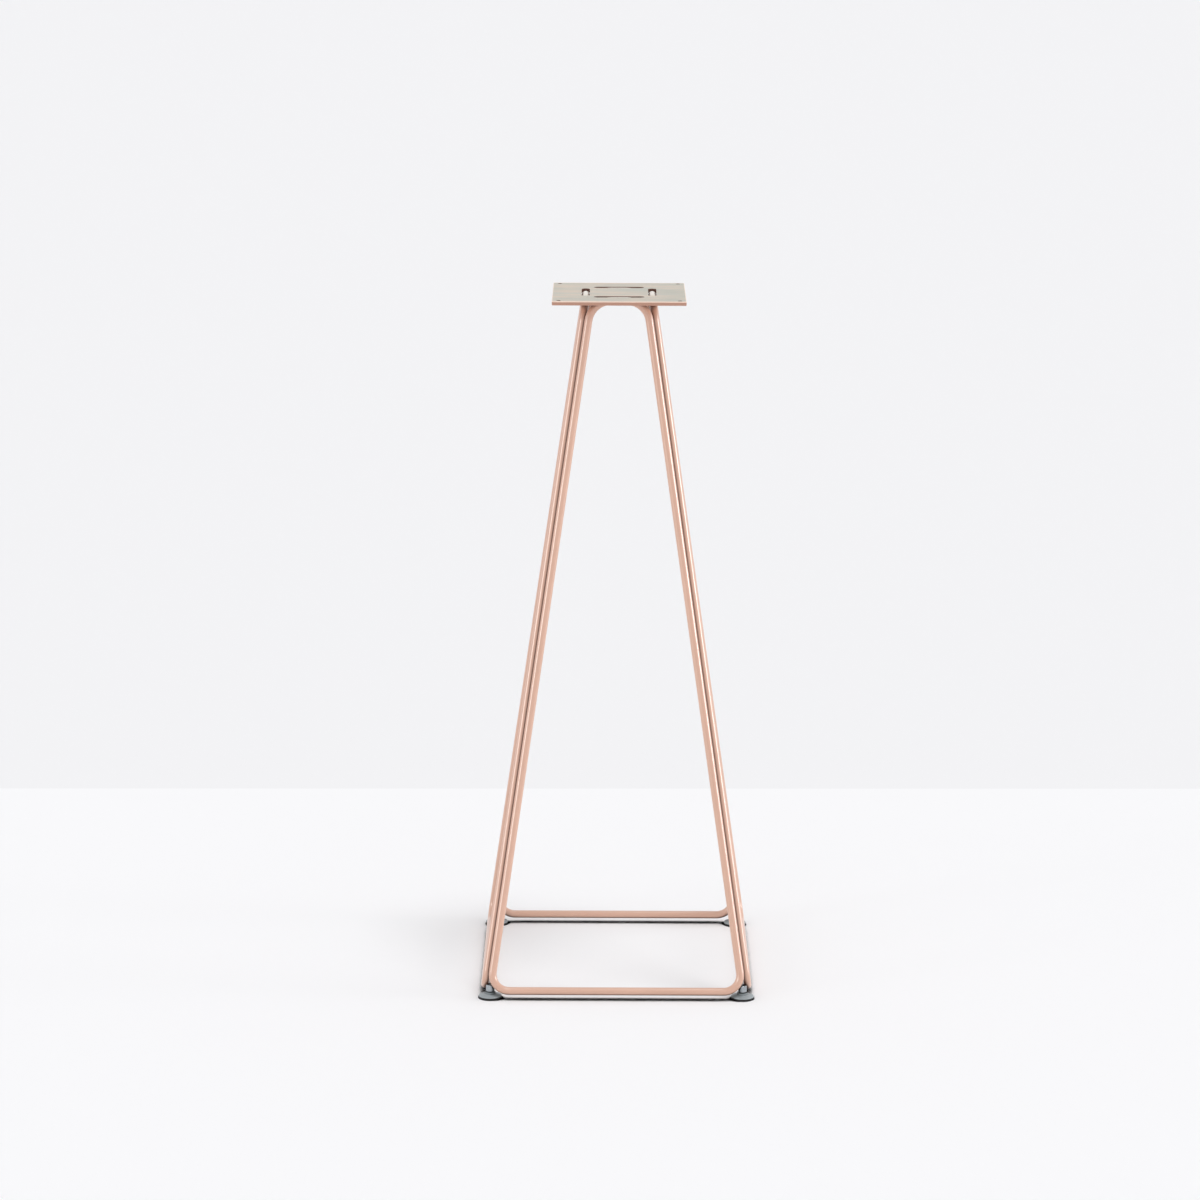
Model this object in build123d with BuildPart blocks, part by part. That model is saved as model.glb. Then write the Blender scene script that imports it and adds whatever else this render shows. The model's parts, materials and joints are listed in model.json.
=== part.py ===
"""Bar-height table base: four leaning loops of bent round rod under a slotted mounting plate.

Millimetres, +Z up, floor at Z = 0, origin on the floor under the middle of the plate, front towards -Y.
"""

import os
from math import atan2, hypot, pi, sqrt, tan

from build123d import *

# Overall
total_height = 1050.0

# Mounting plate
plate_width = 200.0
plate_thickness = 6.0
plate_corner_radius = 2.0
plate_edge_radius = 1.2
screw_inset = 10.0
screw_hole_diameter = 6.5
slot_side_play = 0.2
slot_end_play = 5.5

# Bent rod of the loops
rod_diameter = 12.0
rod_joint_gap = 0.2
rod_crest_depth = 0.4
top_leg_spacing = 83.0
bottom_leg_spacing = 382.0
bottom_rail_height = 13.0
top_bend_radius = 34.0
bottom_bend_radius = 25.0

# Levelling foot
glide_diameter = 35.0
glide_sole_inset = 2.0
glide_sole_height = 1.2
glide_rim_height = 4.2
glide_rim_chamfer = 0.8
glide_shoulder_height = 7.2
glide_hub_diameter = 16.0
glide_hub_height = 9.6
stud_diameter = 8.0
stud_seat_height = 3.0
stud_top_clearance = 1.0
stud_tip_chamfer = 0.8
thread_play = 0.2
bush_diameter = 13.0
bush_lift = 0.4
bush_chamfer = 1.0

# Neighbouring legs stand side by side on the diagonal, so their centrelines are this far apart in X and in Y
leg_offset = (rod_diameter + rod_joint_gap) / sqrt(2)

# Each loop lies in a plane that leans inwards, set by its bottom and top rails
top_rail_height = total_height - rod_crest_depth - rod_diameter / 2
bottom_rail_reach = bottom_leg_spacing / 2 + leg_offset
top_rail_reach = top_leg_spacing / 2 + leg_offset
loop_rise = top_rail_height - bottom_rail_height
loop_lean = bottom_rail_reach - top_rail_reach
loop_slant = hypot(loop_rise, loop_lean)
leg_splay = atan2((bottom_leg_spacing - top_leg_spacing) / 2, loop_slant)

# Run of each bend along its rail, from the corner of the centrelines to where the rail is straight
bottom_bend_run = bottom_bend_radius / tan((pi / 2 - leg_splay) / 2)
top_bend_run = top_bend_radius / tan((pi / 2 + leg_splay) / 2)

# The slots end clear of the bends, which go down through the plate
bend_outside = top_bend_radius + rod_diameter / 2
bend_inset = bend_outside - (plate_thickness - rod_crest_depth)
bend_reach = top_leg_spacing / 2 - top_bend_run + sqrt(bend_outside**2 - bend_inset**2)
slot_length = 2 * (bend_reach + slot_end_play)
slot_width = rod_diameter + 2 * slot_side_play
screw_spacing = plate_width - 2 * screw_inset

# The bushes reach up under the bends of two loops, to where the diagonals of their rims meet both rods
foot_reach = bottom_leg_spacing / 2
bush_diagonal = bush_diameter / 2 / sqrt(2)
rod_reach = sqrt((rod_diameter / 2 + rod_joint_gap) ** 2 - (leg_offset - bush_diagonal) ** 2)
bush_to_bend = sqrt((bottom_bend_radius + rod_reach) ** 2 - (bottom_bend_run - bush_diagonal) ** 2)
bush_top_height = bottom_rail_height + bottom_bend_radius - bush_to_bend
bush_bottom_height = glide_hub_height + bush_lift
bush_bore = stud_diameter + 2 * thread_play
stud_top_height = bush_top_height - stud_top_clearance

corners = {"front_left": (-1, -1), "front_right": (1, -1), "rear_left": (-1, 1), "rear_right": (1, 1)}
sides = {"front": 0, "right": 90, "rear": 180, "left": 270}


def bent_loop(turn, radius):
    """One closed trapezoid of round rod, turned about the vertical axis of the base."""
    rail_middle = Vector(0, -bottom_rail_reach, bottom_rail_height).rotate(Axis.Z, turn)
    rail_direction = Vector(1, 0, 0).rotate(Axis.Z, turn)
    outward = Vector(0, -loop_rise, loop_lean).rotate(Axis.Z, turn)
    loop_plane = Plane(rail_middle, x_dir=rail_direction, z_dir=outward)
    with BuildPart() as loop:
        with BuildLine(loop_plane):
            half_path = FilletPolyline(
                (0, 0),
                (bottom_leg_spacing / 2, 0),
                (top_leg_spacing / 2, loop_slant),
                (0, loop_slant),
                radius=[bottom_bend_radius, top_bend_radius],
            )
        with BuildSketch(Plane(half_path @ 0, x_dir=outward, z_dir=half_path % 0)):
            Circle(radius)
        sweep(path=half_path)
        mirror(about=Plane(loop_plane.origin, z_dir=loop_plane.x_dir))
    return loop.part


# Mounting plate, with a slot over the top rail of each loop
with BuildPart() as top_plate:
    with BuildSketch(Plane.XY.offset(total_height - plate_thickness)):
        RectangleRounded(plate_width, plate_width, plate_corner_radius)
    extrude(amount=plate_thickness)
    rims = top_plate.faces().filter_by(Axis.Z).edges()
    fillet(rims, plate_edge_radius)
    with BuildSketch(Plane.XY.offset(total_height)):
        with PolarLocations(top_rail_reach, len(sides)):
            SlotOverall(slot_length, slot_width, rotation=90)
        with GridLocations(screw_spacing, screw_spacing, 2, 2):
            Circle(screw_hole_diameter / 2)
    extrude(amount=-plate_thickness, mode=Mode.SUBTRACT)

os.makedirs("parts", exist_ok=True)
top_plate.part.label = "top_plate"
export_step(top_plate.part, "parts/top_plate.step")

# Frame loops
for side, turn in sides.items():
    frame_loop = bent_loop(turn, rod_diameter / 2)
    frame_loop.label = f"{side}_loop"
    export_step(frame_loop, f"parts/{side}_loop.step")

# Room that the loops need in the bushes that are welded under their bends
seats = {side: bent_loop(turn, rod_diameter / 2 + rod_joint_gap) for side, turn in sides.items()}

# Levelling feet, one under each corner where two loops meet
for corner, (across, along) in corners.items():
    foot_axis = Plane((across * foot_reach, along * foot_reach, 0))

    with BuildPart() as foot_bush:
        with BuildSketch(foot_axis.offset(bush_bottom_height)):
            Circle(bush_diameter / 2)
            Circle(bush_bore / 2, mode=Mode.SUBTRACT)
        extrude(amount=bush_top_height - bush_bottom_height)
        outer_rims = [end.outer_wire().edge() for end in foot_bush.faces().filter_by(Axis.Z)]
        chamfer(outer_rims, bush_chamfer)
        for side in corner.split("_"):
            add(seats[side], mode=Mode.SUBTRACT)
    foot_bush.part.label = f"foot_bush_{corner}"
    export_step(foot_bush.part, f"parts/foot_bush_{corner}.step")

    with BuildPart() as levelling_stud:
        with BuildSketch(foot_axis.offset(stud_seat_height)):
            Circle(stud_diameter / 2)
        extrude(amount=stud_top_height - stud_seat_height)
        chamfer(levelling_stud.faces().sort_by(Axis.Z)[-1].edges(), stud_tip_chamfer)
    levelling_stud.part.label = f"levelling_stud_{corner}"
    export_step(levelling_stud.part, f"parts/levelling_stud_{corner}.step")

    with BuildPart() as glide_disc:
        with BuildSketch(Plane(foot_axis.origin, x_dir=(1, 0, 0), z_dir=(0, -1, 0))) as glide_profile:
            with BuildLine():
                Polyline(
                    (0, 0),
                    (glide_diameter / 2 - glide_sole_inset, 0),
                    (glide_diameter / 2, glide_sole_height),
                    (glide_diameter / 2, glide_rim_height),
                    (glide_hub_diameter / 2, glide_shoulder_height),
                    (glide_hub_diameter / 2, glide_hub_height),
                    (stud_diameter / 2, glide_hub_height),
                    (stud_diameter / 2, stud_seat_height),
                    (0, stud_seat_height),
                    close=True,
                )
            make_face()
            rim_corner = glide_profile.vertices().group_by(Axis.X)[-1].sort_by(Axis.Y)[-1]
            chamfer(rim_corner, glide_rim_chamfer)
        revolve(axis=Axis(foot_axis.origin, (0, 0, 1)))
    glide_disc.part.label = f"glide_disc_{corner}"
    export_step(glide_disc.part, f"parts/glide_disc_{corner}.step")
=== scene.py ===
"""Looks of the bar table base: powder coat, satin plate, plated feet, welds, and the studio around them.

Metres, +Z up, in the frame of the solids, with the front towards -Y.
"""

import json
from math import cos, pi, radians, sin

import bpy
from mathutils import Matrix, Vector

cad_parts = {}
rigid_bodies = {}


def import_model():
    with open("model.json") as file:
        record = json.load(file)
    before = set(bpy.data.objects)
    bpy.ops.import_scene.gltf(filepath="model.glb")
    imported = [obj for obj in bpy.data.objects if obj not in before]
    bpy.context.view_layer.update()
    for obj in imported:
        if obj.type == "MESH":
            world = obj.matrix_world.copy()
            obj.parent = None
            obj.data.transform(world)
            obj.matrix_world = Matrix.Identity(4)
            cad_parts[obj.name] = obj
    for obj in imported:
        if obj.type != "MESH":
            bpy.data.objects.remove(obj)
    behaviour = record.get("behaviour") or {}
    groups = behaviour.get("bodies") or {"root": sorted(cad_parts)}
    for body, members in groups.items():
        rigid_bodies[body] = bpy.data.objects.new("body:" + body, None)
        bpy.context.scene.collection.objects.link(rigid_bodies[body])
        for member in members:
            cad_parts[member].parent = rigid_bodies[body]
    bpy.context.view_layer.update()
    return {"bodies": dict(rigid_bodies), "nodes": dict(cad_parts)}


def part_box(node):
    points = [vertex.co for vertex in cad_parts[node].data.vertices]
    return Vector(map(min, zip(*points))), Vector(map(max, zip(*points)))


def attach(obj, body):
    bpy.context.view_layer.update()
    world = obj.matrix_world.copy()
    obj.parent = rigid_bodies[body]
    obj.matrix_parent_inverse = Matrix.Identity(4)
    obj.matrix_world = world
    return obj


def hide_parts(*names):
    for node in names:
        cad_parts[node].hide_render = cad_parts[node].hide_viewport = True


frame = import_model()

sides = {"front": 0, "right": 90, "rear": 180, "left": 270}
corners = ["front_left", "front_right", "rear_left", "rear_right"]


def paint(red, green, blue):
    """An sRGB colour, from 0 to 255, as the linear colour that a shader takes."""
    shown = [channel / 255 for channel in (red, green, blue)]
    linear = [c / 12.92 if c <= 0.04045 else ((c + 0.055) / 1.055) ** 2.4 for c in shown]
    return (*linear, 1.0)


# Colours
coat_colour = paint(205, 161, 138)
coat_warm_colour = paint(210, 165, 142)
# Painted shade for the creases between the rods, under the rails and in the plate's slots and holes
painted_shade_colour = paint(116, 84, 71)
# Painted shade: a darker copy of the rods' coat, for the plate's faces other than the upper one
plate_shaded_coat_colour = paint(178, 135, 116)
# Painted highlight along the top edges of the plate
plate_highlight_colour = paint(240, 214, 196)
plate_grey_colour = paint(188, 187, 173)
plate_cream_colour = paint(215, 200, 182)
crest_colour = paint(232, 220, 204)
zinc_colour = paint(178, 183, 186)
zinc_blue_colour = paint(160, 168, 174)
# Painted shade for the zinc in the nooks under the rods
zinc_shade_colour = paint(62, 66, 68)
glide_colour = paint(142, 149, 152)
glide_pale_colour = paint(156, 164, 168)
# Painted shade for the glides in the nooks
glide_shade_colour = paint(48, 54, 54)
glide_sole_colour = paint(10, 10, 11)
floor_colour = paint(249, 249, 251)
wall_colour = paint(243, 243, 245)

# Noise, which stays mostly between the low and the high value
noise_low = 0.3
noise_high = 0.7
noise_detail = 2.0

# Powder coat on the rods
coat_drift_scale = 9.0
coat_peel_scale = 900.0
coat_peel_detail = 3.0
coat_peel_height = 0.00002
coat_peel_strength = 0.12
coat_gloss_scale = 60.0
coat_gloss_detail = 4.0
coat_roughness = (0.29, 0.37)
clear_coat_roughness = 0.28
clear_coat_ior = 1.7
crest_band = 0.003
# Painted shade: the coat takes the shade colour where something stands within crease_reach
crease_reach = 0.016
crease_dark = 0.40
crease_clear = 0.82

# Plate
plate_upper_facing = 0.95
plate_steep_facing = 0.5
plate_recess_margin = 0.003
streak_scale = 95.0
streak_detail = 6.0
streak_stretch = (0.10, 1.0, 1.0)
cloud_scale = 30.0
cloud_detail = 4.0
cloud_stretch = (0.5, 1.0, 1.0)
patch_low = 0.16
patch_high = 0.36
plate_metal_share = 0.75
plate_roughness = (0.34, 0.46)
plate_grain_scale = 700.0
plate_grain_detail = 3.0
plate_grain_height = 0.00005
plate_grain_strength = 0.3
# Painted highlight along the plate's top edges: on the coat within arris_drop of the top, and on the upper
# face near the front and rear edges
arris_drop = 0.0014
arris_band = 0.0025

# Zinc on the bushes and studs
turning_scale = 260.0
turning_detail = 4.0
turning_stretch = (0.15, 0.15, 8.0)
turning_height = 0.00003
turning_strength = 0.25
zinc_cast_scale = 120.0
zinc_roughness = (0.14, 0.26)
# Painted shade in the nooks, for zinc and glides: darker where something stands within nook_reach
nook_reach = 0.012
bush_dark = 0.52
bush_clear = 0.86

# Plastic of the glides
glide_grain_scale = 2400.0
glide_grain_height = 0.00004
glide_grain_strength = 0.3
glide_cloud_scale = 90.0
glide_cloud_detail = 3.0
glide_roughness = (0.36, 0.48)
# Painted shade on the glides near the rods and the hub
glide_dark = 0.40
glide_clear = 0.90
glide_sole_height = 0.0034

# Screw thread on the studs
thread_pitch = 0.00125
thread_depth = 0.00077
thread_flank_slope = 2.5
thread_crest_share = 0.1
thread_segments = 40
thread_rows_per_turn = 12
stud_tip_chamfer = 0.0008

# Weld beads under the plate
rod_radius = 0.006
weld_size = 0.003
weld_length = 0.020
weld_ripple_pitch = 0.0022
weld_ripple_share = 0.07
weld_end_taper = 0.003
weld_end_share = 0.25
weld_root_inset = 0.0012
weld_root_lift = 0.0002
weld_start_angle = -6
weld_sweep_angle = 116
weld_rows = 120
weld_segments = 14

# Places on the solids
cad_plate_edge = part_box("top_plate")[1].x
cad_plate_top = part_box("top_plate")[1].z
crest_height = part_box("front_loop")[1].z - crest_band

# Shading
smooth_angle = radians(40)
weld_smooth_angle = radians(60)
openness_samples = 24

# Camera
camera_place = Vector((-0.02098, -6.0779, 1.9233))
camera_pitch = radians(12.507)
camera_turn = radians(0.057)
camera_roll = radians(0.205)
camera_lens = 122.0
camera_sensor = 36.0
camera_reach = 100.0

# Studio
floor_half_size = 30.0
wall_line_depth = 1.02
wall_line_slope = 0.0137
# Painted contact shadow on the floor, where the base stands within contact_reach
contact_reach = 0.020
contact_dark = 0.63
contact_clear = 0.70
contact_shadow_colour = paint(12, 12, 13)
world_left_strength = 0.69
world_right_strength = 0.81
lamps = {
    "overhead": {"direction": Vector((0.195, -0.15, 1.05)), "angle": radians(14), "strength": 0.58},
    "right": {"direction": Vector((0.98, -0.10, 0.10)), "angle": radians(16), "strength": 1.32},
    "left": {"direction": Vector((-0.87, -0.50, 0.13)), "angle": radians(14), "strength": 0.75},
}


class Nodes:
    """A node tree of a material or world, with short calls to add and link its nodes."""

    def __init__(self, owner):
        owner.use_nodes = True
        self.tree = owner.node_tree
        self.tree.nodes.clear()

    def add(self, kind, inputs=None, **settings):
        node = self.tree.nodes.new(kind)
        for name, value in settings.items():
            setattr(node, name, value)
        for socket, value in (inputs or {}).items():
            if isinstance(value, bpy.types.NodeSocket):
                self.tree.links.new(value, node.inputs[socket])
            else:
                node.inputs[socket].default_value = value
        return node

    def noise(self, place, scale, detail=noise_detail, stretch=(1.0, 1.0, 1.0)):
        mapping = self.add("ShaderNodeMapping", {"Vector": place, "Scale": stretch})
        inputs = {"Vector": mapping.outputs[0], "Scale": scale, "Detail": detail}
        return self.add("ShaderNodeTexNoise", inputs).outputs["Fac"]

    def span(self, value, low, high, from_low=noise_low, from_high=noise_high):
        inputs = {"Value": value, "From Min": from_low, "From Max": from_high, "To Min": low, "To Max": high}
        return self.add("ShaderNodeMapRange", inputs).outputs["Result"]

    def math(self, operation, first, second):
        return self.add("ShaderNodeMath", {0: first, 1: second}, operation=operation).outputs[0]

    def blend(self, share, first, second):
        """A mix of two colours. Input 0 is the share, 6 and 7 are the colours, output 2 is the mix."""
        return self.add("ShaderNodeMix", {0: share, 6: first, 7: second}, data_type="RGBA").outputs[2]

    def openness(self, reach):
        """1 in the open, less where something stands within reach."""
        inputs = {"Distance": reach}
        return self.add("ShaderNodeAmbientOcclusion", inputs, samples=openness_samples).outputs["AO"]

    def bump(self, height, distance, strength):
        inputs = {"Height": height, "Distance": distance, "Strength": strength}
        return self.add("ShaderNodeBump", inputs).outputs["Normal"]

    def surface(self, shader):
        self.add("ShaderNodeOutputMaterial", {"Surface": shader})


def coat_material():
    """Powder coat with a slight drift of colour and fine orange peel, painted shade in the creases, off on
    the crests.
    """
    material = bpy.data.materials.new("powder_coat")
    nodes = Nodes(material)
    place = nodes.add("ShaderNodeTexCoord").outputs["Object"]
    drift = nodes.span(nodes.noise(place, coat_drift_scale), 0.0, 1.0)
    # Painted shade in the creases between the rods and under the rails
    clear = nodes.span(nodes.openness(crease_reach), 0.0, 1.0, crease_dark, crease_clear)
    height = nodes.add("ShaderNodeSeparateXYZ", {"Vector": place}).outputs["Z"]
    crest = nodes.math("GREATER_THAN", height, crest_height)
    coat_tone = nodes.blend(drift, coat_colour, coat_warm_colour)
    creased = nodes.blend(clear, painted_shade_colour, coat_tone)
    peel = nodes.noise(place, coat_peel_scale, coat_peel_detail)
    gloss = nodes.noise(place, coat_gloss_scale, coat_gloss_detail)
    shader = nodes.add("ShaderNodeBsdfPrincipled", {
        "Base Color": nodes.blend(crest, creased, crest_colour),
        "Roughness": nodes.span(gloss, *coat_roughness),
        "Normal": nodes.bump(peel, coat_peel_height, coat_peel_strength),
        "Coat Weight": 1.0,
        "Coat Roughness": clear_coat_roughness,
        "Coat IOR": clear_coat_ior,
    })
    nodes.surface(shader.outputs[0])
    return material


def plate_material():
    """Satin metal with faint streaks on the upper face, a darker copy of the coat on the other faces,
    painted highlights along the top edges, painted shade in slots and holes.
    """
    material = bpy.data.materials.new("plate_finish")
    nodes = Nodes(material)
    coordinates = nodes.add("ShaderNodeTexCoord")
    place = coordinates.outputs["Object"]
    facing = nodes.add("ShaderNodeSeparateXYZ", {"Vector": coordinates.outputs["Normal"]}).outputs["Z"]
    upper = nodes.math("GREATER_THAN", facing, plate_upper_facing)
    spot = nodes.add("ShaderNodeSeparateXYZ", {"Vector": place})
    across = nodes.math("ABSOLUTE", spot.outputs["X"], 0.0)
    along = nodes.math("ABSOLUTE", spot.outputs["Y"], 0.0)
    reach = nodes.math("MAXIMUM", across, along)
    # Painted shade on the steep walls of the slots and holes
    steep = nodes.math("LESS_THAN", nodes.math("ABSOLUTE", facing, 0.0), plate_steep_facing)
    inside = nodes.math("LESS_THAN", reach, cad_plate_edge - plate_recess_margin)
    recess = nodes.math("MULTIPLY", steep, inside)
    streaks = nodes.noise(place, streak_scale, streak_detail, streak_stretch)
    clouds = nodes.noise(place, cloud_scale, cloud_detail, cloud_stretch)
    pattern = nodes.math("MULTIPLY", streaks, clouds)
    patches = nodes.span(pattern, 0.0, 1.0, patch_low, patch_high)
    satin = nodes.blend(patches, plate_grey_colour, plate_cream_colour)
    # Painted highlight on the upper face, in a band along the front and rear edges
    near_edge = nodes.span(along, 0.0, 1.0, cad_plate_edge - 2 * arris_band, cad_plate_edge - arris_band)
    metal = nodes.blend(near_edge, satin, plate_highlight_colour)
    # Painted highlight on the coat just below the top edges
    drop = nodes.math("SUBTRACT", cad_plate_top, spot.outputs["Z"])
    top_edge_highlight = nodes.span(drop, 1.0, 0.0, arris_drop / 2, arris_drop)
    edge = nodes.blend(top_edge_highlight, plate_shaded_coat_colour, plate_highlight_colour)
    coat = nodes.blend(recess, edge, painted_shade_colour)
    grain = nodes.noise(place, plate_grain_scale, plate_grain_detail)
    shader = nodes.add("ShaderNodeBsdfPrincipled", {
        "Base Color": nodes.blend(upper, coat, metal),
        "Metallic": nodes.math("MULTIPLY", upper, plate_metal_share),
        "Roughness": nodes.span(streaks, *plate_roughness),
        "Normal": nodes.bump(grain, plate_grain_height, plate_grain_strength),
    })
    nodes.surface(shader.outputs[0])
    return material


def zinc_material():
    """Bright zinc plate with a faint blue cast and fine turning marks, with painted shade in the nooks under
    the rods.
    """
    material = bpy.data.materials.new("zinc_plate")
    nodes = Nodes(material)
    place = nodes.add("ShaderNodeTexCoord").outputs["Object"]
    marks = nodes.noise(place, turning_scale, turning_detail, turning_stretch)
    cast = nodes.span(nodes.noise(place, zinc_cast_scale), 0.0, 1.0)
    # Painted shade in the nooks under the rods
    clear = nodes.span(nodes.openness(nook_reach), 0.0, 1.0, bush_dark, bush_clear)
    bright = nodes.blend(cast, zinc_colour, zinc_blue_colour)
    shader = nodes.add("ShaderNodeBsdfPrincipled", {
        "Base Color": nodes.blend(clear, zinc_shade_colour, bright),
        "Metallic": 1.0,
        "Roughness": nodes.span(marks, *zinc_roughness),
        "Normal": nodes.bump(marks, turning_height, turning_strength),
    })
    nodes.surface(shader.outputs[0])
    return material


def glide_material():
    """Moulded grey plastic with a fine spark-eroded grain, painted shade in the nooks, near black below the
    sole height.
    """
    material = bpy.data.materials.new("glide_plastic")
    nodes = Nodes(material)
    place = nodes.add("ShaderNodeTexCoord").outputs["Object"]
    grain = nodes.noise(place, glide_grain_scale)
    cloud = nodes.span(nodes.noise(place, glide_cloud_scale, glide_cloud_detail), 0.0, 1.0)
    # Painted shade in the nooks near the rods and the hub
    clear = nodes.span(nodes.openness(nook_reach), 0.0, 1.0, glide_dark, glide_clear)
    height = nodes.add("ShaderNodeSeparateXYZ", {"Vector": place}).outputs["Z"]
    above_sole = nodes.math("GREATER_THAN", height, glide_sole_height)
    body = nodes.blend(clear, glide_shade_colour, nodes.blend(cloud, glide_colour, glide_pale_colour))
    shader = nodes.add("ShaderNodeBsdfPrincipled", {
        "Base Color": nodes.blend(above_sole, glide_sole_colour, body),
        "Roughness": nodes.span(grain, *glide_roughness),
        "Normal": nodes.bump(grain, glide_grain_height, glide_grain_strength),
    })
    nodes.surface(shader.outputs[0])
    return material


def give(thing, material):
    thing.data.materials.clear()
    thing.data.materials.append(material)


def new_piece(name, points, faces, smooth_below=smooth_angle):
    mesh = bpy.data.meshes.new(name)
    mesh.from_pydata(points, [], faces)
    mesh.validate()
    mesh.shade_smooth()
    mesh.set_sharp_from_angle(angle=smooth_below)
    piece = bpy.data.objects.new(name, mesh)
    bpy.context.scene.collection.objects.link(piece)
    return piece


def tube_faces(rows, segments):
    """Quads between rings of points, with a flat cap on the first and the last ring."""
    faces = [list(range(segments - 1, -1, -1))]
    for row in range(rows - 1):
        for step in range(segments):
            here = row * segments + step
            beside = row * segments + (step + 1) % segments
            faces.append([here, beside, beside + segments, here + segments])
    faces.append([(rows - 1) * segments + step for step in range(segments)])
    return faces


def threaded_stud(corner):
    """The levelling stud with its screw thread, in place of the plain solid."""
    node = f"levelling_stud_{corner}"
    low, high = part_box(node)
    middle = (low + high) / 2
    crest = (high.x - low.x) / 2
    turns = (high.z - low.z) / thread_pitch
    rows = round(turns * thread_rows_per_turn)
    points = []
    for row in range(rows + 1):
        height = low.z + (high.z - low.z) * row / rows
        tip_radius = crest - stud_tip_chamfer + (high.z - height)
        for step in range(thread_segments):
            phase = (height / thread_pitch - step / thread_segments) % 1.0
            ridge = min(1.0, max(0.0, thread_flank_slope * abs(phase - 0.5) - thread_crest_share))
            radius = min(crest - thread_depth * ridge, tip_radius)
            angle = 2 * pi * step / thread_segments
            points.append((middle.x + radius * cos(angle), middle.y + radius * sin(angle), height))
    stud = new_piece(f"threaded_stud_{corner}", points, tube_faces(rows + 1, thread_segments))
    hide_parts(node)
    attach(stud, f"foot_{corner}")
    return stud


def plate_weld(side, outward):
    """A rippled weld bead under the plate, along the outer or the inner flank of a top rail.

    The inner bead is the outer one after half a turn about the middle of the rail.
    """
    half_turn = 1 if outward else -1
    loop_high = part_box("front_loop")[1]
    rail_reach = rod_radius - loop_high.y
    plate_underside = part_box("top_plate")[0].z
    turn = Matrix.Rotation(radians(sides[side]), 4, "Z")
    points = []
    for row in range(weld_rows):
        run = weld_length * (row / (weld_rows - 1) - 0.5)
        to_end = weld_length / 2 - abs(run)
        taper = min(1.0, weld_end_share + (1 - weld_end_share) * to_end / weld_end_taper)
        ripple = 1.0 - weld_ripple_share * (run / weld_ripple_pitch % 1.0)
        size = weld_size * taper * ripple
        for step in range(weld_segments):
            if step == 0:
                flank, drop = -weld_root_inset, -weld_root_lift
            else:
                share = (step - 1) / (weld_segments - 2)
                angle = radians(weld_start_angle + weld_sweep_angle * share)
                flank = size * cos(angle)
                drop = size * sin(angle)
            from_rail = rod_radius + flank
            lateral = -rail_reach - half_turn * from_rail
            points.append(turn @ Vector((half_turn * run, lateral, plate_underside - drop)))
    flank_name = "outer" if outward else "inner"
    faces = tube_faces(weld_rows, weld_segments)
    bead = new_piece(f"plate_weld_{side}_{flank_name}", points, faces, weld_smooth_angle)
    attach(bead, "frame")
    return bead


def studio_floor():
    """A pale floor under the lowest foot, with a painted contact shadow close to the base, and a change of
    tone for the wall.
    """
    half = floor_half_size
    rim = [(-half, -half, 0), (half, -half, 0), (half, half, 0), (-half, half, 0)]
    floor = bpy.data.objects.new("floor", bpy.data.meshes.new("floor"))
    floor.data.from_pydata(rim, [], [(0, 1, 2, 3)])
    bpy.context.scene.collection.objects.link(floor)
    for corner in corners:
        under_foot = floor.constraints.new("FLOOR")
        under_foot.target = frame["bodies"][f"foot_{corner}"]
        under_foot.floor_location = "FLOOR_NEGATIVE_Z"
    material = bpy.data.materials.new("studio_floor")
    nodes = Nodes(material)
    place = nodes.add("ShaderNodeTexCoord").outputs["Object"]
    spot = nodes.add("ShaderNodeSeparateXYZ", {"Vector": place})
    slant = nodes.math("MULTIPLY", spot.outputs["X"], wall_line_slope)
    depth = nodes.math("SUBTRACT", spot.outputs["Y"], slant)
    beyond = nodes.math("GREATER_THAN", depth, wall_line_depth)
    # Painted contact shadow close to the base
    clear = nodes.span(nodes.openness(contact_reach), 0.0, 1.0, contact_dark, contact_clear)
    pale = nodes.blend(beyond, floor_colour, wall_colour)
    shader = nodes.add("ShaderNodeBsdfDiffuse", {"Color": nodes.blend(clear, contact_shadow_colour, pale)})
    nodes.surface(shader.outputs[0])
    give(floor, material)


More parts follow.
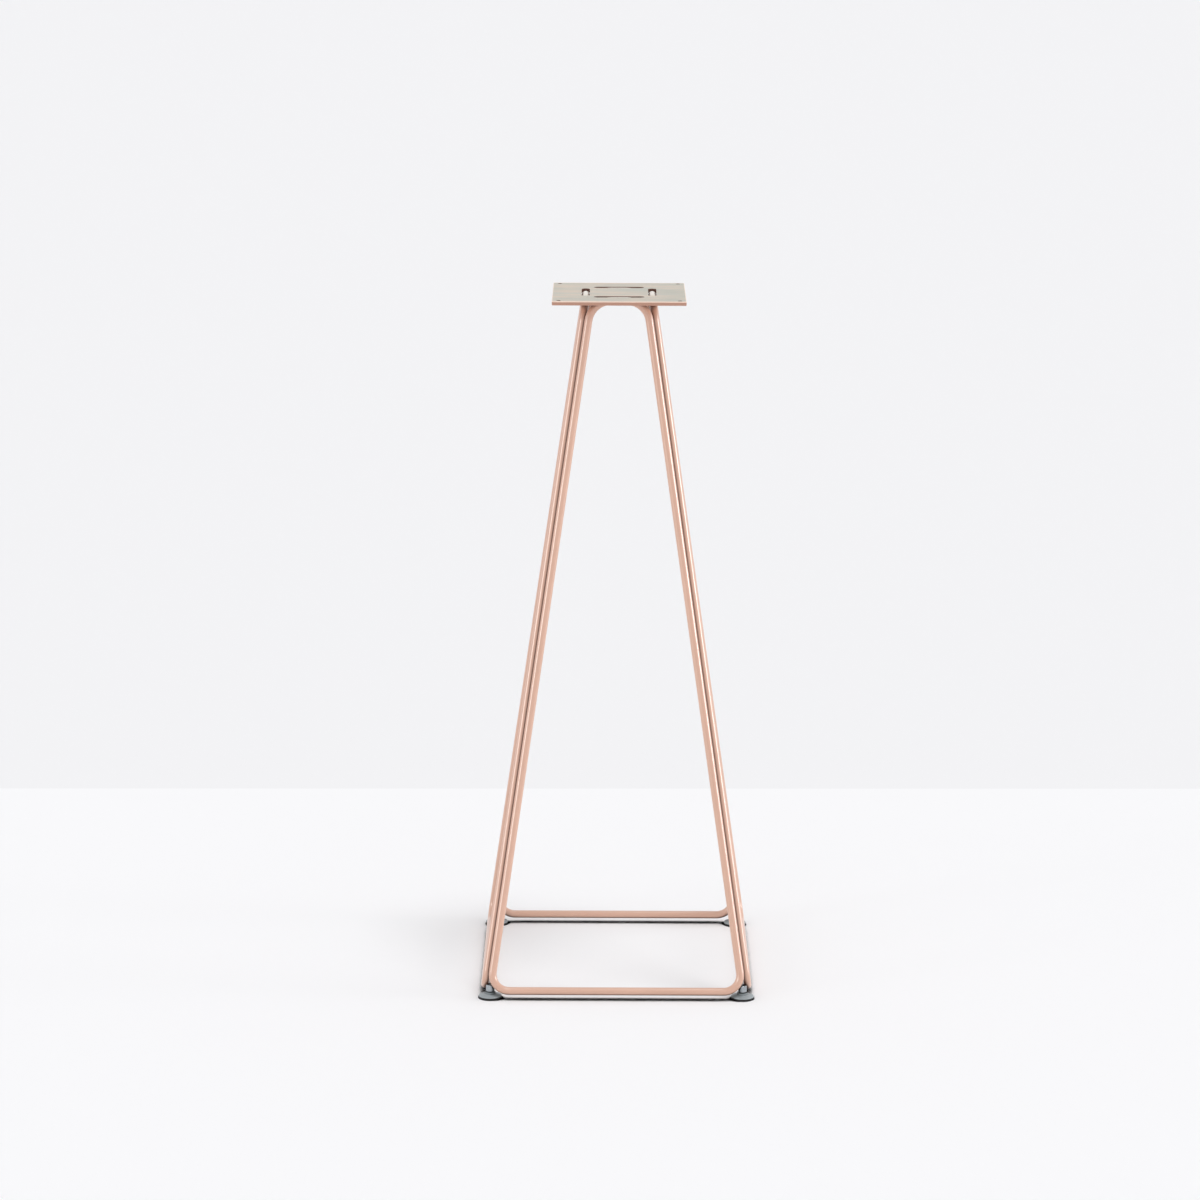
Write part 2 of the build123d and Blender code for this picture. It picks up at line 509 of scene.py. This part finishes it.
def studio_lamps():
    for name, values in lamps.items():
        data = bpy.data.lights.new(name, "SUN")
        data.angle = values["angle"]
        data.energy = values["strength"]
        lamp = bpy.data.objects.new(name, data)
        lamp.rotation_euler = values["direction"].to_track_quat("Z", "Y").to_euler()
        bpy.context.scene.collection.objects.link(lamp)


def studio_world():
    """Soft light from all round, with the wall's own tone for the camera and for reflections."""
    world = bpy.data.worlds.new("studio_world")
    bpy.context.scene.world = world
    nodes = Nodes(world)
    direction = nodes.add("ShaderNodeTexCoord").outputs["Generated"]
    aside = nodes.add("ShaderNodeSeparateXYZ", {"Vector": direction}).outputs["X"]
    strength = nodes.span(aside, world_left_strength, world_right_strength, -1.0, 1.0)
    light = nodes.add("ShaderNodeBackground", {"Color": (1.0, 1.0, 1.0, 1.0), "Strength": strength})
    backdrop = nodes.add("ShaderNodeBackground", {"Color": wall_colour, "Strength": 1.0})
    path = nodes.add("ShaderNodeLightPath").outputs
    mirrored = nodes.math("MAXIMUM", path["Is Glossy Ray"], path["Is Transmission Ray"])
    seen = nodes.math("MAXIMUM", path["Is Camera Ray"], mirrored)
    mixed = nodes.add("ShaderNodeMixShader", {0: seen, 1: light.outputs[0], 2: backdrop.outputs[0]})
    nodes.add("ShaderNodeOutputWorld", {"Surface": mixed.outputs[0]})


def camera():
    data = bpy.data.cameras.new("camera")
    data.lens = camera_lens
    data.sensor_width = camera_sensor
    data.clip_end = camera_reach
    eye = bpy.data.objects.new("camera", data)
    aim = Matrix.Rotation(camera_turn, 4, "Z") @ Matrix.Rotation(pi / 2 - camera_pitch, 4, "X")
    eye.matrix_world = Matrix.Translation(camera_place) @ aim @ Matrix.Rotation(camera_roll, 4, "Z")
    bpy.context.scene.collection.objects.link(eye)
    bpy.context.scene.camera = eye


coat = coat_material()
zinc = zinc_material()
glide_plastic = glide_material()
give(frame["nodes"]["top_plate"], plate_material())
for side in sides:
    give(frame["nodes"][f"{side}_loop"], coat)
    for outward in (True, False):
        give(plate_weld(side, outward), coat)
for corner in corners:
    give(frame["nodes"][f"foot_bush_{corner}"], zinc)
    give(frame["nodes"][f"glide_disc_{corner}"], glide_plastic)
    give(threaded_stud(corner), zinc)

studio_floor()
studio_lamps()
studio_world()
camera()
bpy.context.scene.view_settings.view_transform = "Standard"
